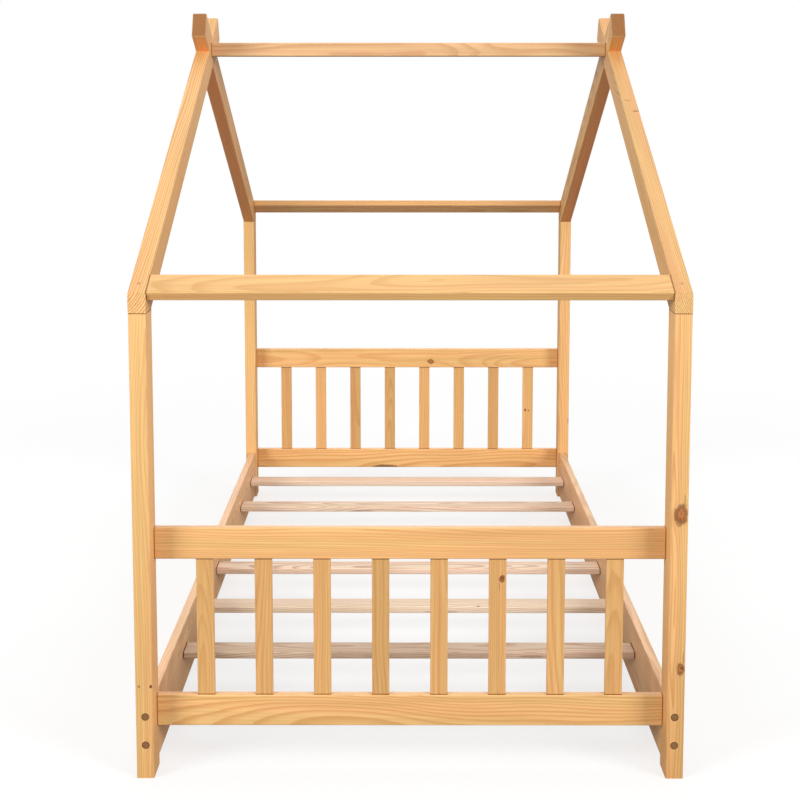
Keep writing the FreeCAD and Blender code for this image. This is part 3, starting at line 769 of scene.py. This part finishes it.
def smallWoodMaterial(name, light, dark):
    # small turned or cut wooden parts with upright grain, seen mostly as end grain
    material, tree, shader = newMaterial(name)
    stretched = vectorMaths(tree, "MULTIPLY", objectPlace(tree), smallWood["stretch"])
    noise = noiseTexture(tree, stretched, detail=3.0)["Fac"]
    feed(tree, shader.inputs["Base Color"], mixColour(tree, "MIX", noise, dark, light))
    feed(tree, shader.inputs["Roughness"], maths(tree, "MULTIPLY_ADD", noise, *smallWood["roughness"]))
    addRelief(tree, shader, noise, smallWood["relief"], smallWood["reliefDepth"])
    return material


def zincMaterial(name):
    material, tree, shader = newMaterial(name)
    noise = noiseTexture(tree, objectPlace(tree), zincPlate["scale"], 3.0)["Fac"]
    plate = mixColour(tree, "MIX", noise, zincPlate["dark"], zincPlate["light"])
    feed(tree, shader.inputs["Base Color"], plate)
    feed(tree, shader.inputs["Roughness"], maths(tree, "MULTIPLY_ADD", noise, *zincPlate["roughness"]))
    shader.inputs["Metallic"].default_value = 1.0
    return material


dowelWood = smallWoodMaterial("dowel_grain", paint(222, 184, 138), paint(190, 146, 100))
smallPlugWood = smallWoodMaterial("small_plug_grain", paint(206, 154, 100), paint(170, 118, 70))
zinc = zincMaterial("zinc_plating")
hardware = {"rafter_foot_plugs": smallPlugWood, "rafter_foot_dowels": dowelWood,
            "panel_rail_dowels": dowelWood, "bed_bolts": zinc, "cross_nuts": zinc, "eave_screws": zinc,
            "ridge_screws": zinc, "rafter_foot_screws": zinc}
for name, material in hardware.items():
    setMaterial(nodes[name], material)
print("hardware finished")


# Studio

studio = {"floorSize": 80.0, "floorColour": paint(248, 248, 248), "floorRoughness": 0.9,
          "floorSpecular": 0.1, "floorBounce": 0.3, "fadeShape": (1.0, 0.8, 0.0), "fadeFrom": 0.3,
          "fadeTo": 3.0, "leastFade": 0.7, "ambient": 0.47}
softBoxes = {
    "keyLeft": {"place": (-6.9, -6.0, 3.6), "aim": (0, 0, 0.8), "size": (3.6, 3.0), "power": 565.0},
    "keyRight": {"place": (6.9, -6.0, 3.6), "aim": (0, 0, 0.8), "size": (3.6, 3.0), "power": 565.0},
    "backFill": {"place": (0, 9.0, 4.2), "aim": (0, 0, 0.8), "size": (4.0, 3.0), "power": 150.0},
    "overhead": {"place": (0, 0.6, 6.5), "aim": (0, 0.2, 0), "size": (5.0, 6.0), "power": 105.0},
}


def addToScene(name, data):
    holder = bpy.data.objects.new(name, data)
    bpy.context.scene.collection.objects.link(holder)
    return holder


def mixShaders(tree, share, first, second):
    mixer = tree.nodes.new("ShaderNodeMixShader")
    feed(tree, mixer.inputs[0], share)
    feed(tree, mixer.inputs[1], first.outputs[0])
    feed(tree, mixer.inputs[2], second.outputs[0])
    return mixer


def seenDirectly(tree):
    return tree.nodes.new("ShaderNodeLightPath").outputs["Is Camera Ray"]


def makeFloor():
    # pale paint near the bed that runs out into the white of the room further off
    half = studio["floorSize"] / 2
    mesh = bpy.data.meshes.new("floor")
    corners = [(-half, -half, 0), (half, -half, 0), (half, half, 0), (-half, half, 0)]
    mesh.from_pydata(corners, [], [(0, 1, 2, 3)])
    floor = addToScene("floor", mesh)
    material, tree, shader = newMaterial("floor_paint")
    shader.inputs["Base Color"].default_value = studio["floorColour"]
    shader.inputs["Roughness"].default_value = studio["floorRoughness"]
    shader.inputs["Specular IOR Level"].default_value = studio["floorSpecular"]
    spread = vectorMaths(tree, "MULTIPLY", objectPlace(tree), studio["fadeShape"])
    fade = smoothStep(tree, vectorMaths(tree, "LENGTH", spread), studio["fadeFrom"], studio["fadeTo"])
    share = maths(tree, "MAXIMUM", fade, studio["leastFade"])
    seen = mixShaders(tree, share, shader, tree.nodes.new("ShaderNodeEmission"))
    bounce = addNamed(tree, "ShaderNodeBsdfDiffuse", {"Color": (studio["floorBounce"],) * 3 + (1.0,)})
    lit = mixShaders(tree, seenDirectly(tree), bounce, seen)
    feed(tree, tree.nodes["Material Output"].inputs["Surface"], lit.outputs[0])
    setMaterial(floor, material)


def makeSoftBox(name, place, aim, size, power):
    light = bpy.data.lights.new(name, "AREA")
    light.shape = "RECTANGLE"
    light.size, light.size_y = size
    light.energy = power
    holder = addToScene(name, light)
    holder.location = place
    holder.rotation_euler = (Vector(aim) - Vector(place)).to_track_quat("-Z", "Y").to_euler()


def makeWorld():
    # plain white to the eye, a softer white as light
    world = bpy.data.worlds.new("studio")
    bpy.context.scene.world = world
    world.use_nodes = True
    tree = world.node_tree
    white = (1.0, 1.0, 1.0, 1.0)
    lighting = tree.nodes["Background"]
    lighting.inputs["Color"].default_value = white
    lighting.inputs["Strength"].default_value = studio["ambient"]
    seen = addNamed(tree, "ShaderNodeBackground", {"Color": white})
    mixer = mixShaders(tree, seenDirectly(tree), lighting, seen)
    feed(tree, tree.nodes["World Output"].inputs["Surface"], mixer.outputs[0])


makeFloor()
makeWorld()
for name, settings in softBoxes.items():
    makeSoftBox(name, **settings)
bpy.context.scene.view_settings.view_transform = "Standard"
print("studio lit")


# Camera, from the photograph's view: slightly above the bed's middle, looking along it

cameraSettings = {"place": (-0.0133, -3.712, 1.3239), "pitchDown": 6.08, "turnLeft": 0.124,
                  "sensor": 36.0, "lens": 65.11, "shiftY": -0.19}


def makeCamera():
    data = bpy.data.cameras.new("camera")
    data.sensor_width = cameraSettings["sensor"]
    data.lens = cameraSettings["lens"]
    data.shift_y = cameraSettings["shiftY"]
    holder = addToScene("camera", data)
    holder.location = cameraSettings["place"]
    holder.rotation_euler = (math.radians(90 - cameraSettings["pitchDown"]), 0,
                             math.radians(cameraSettings["turnLeft"]))
    bpy.context.scene.camera = holder


makeCamera()
print("camera set")
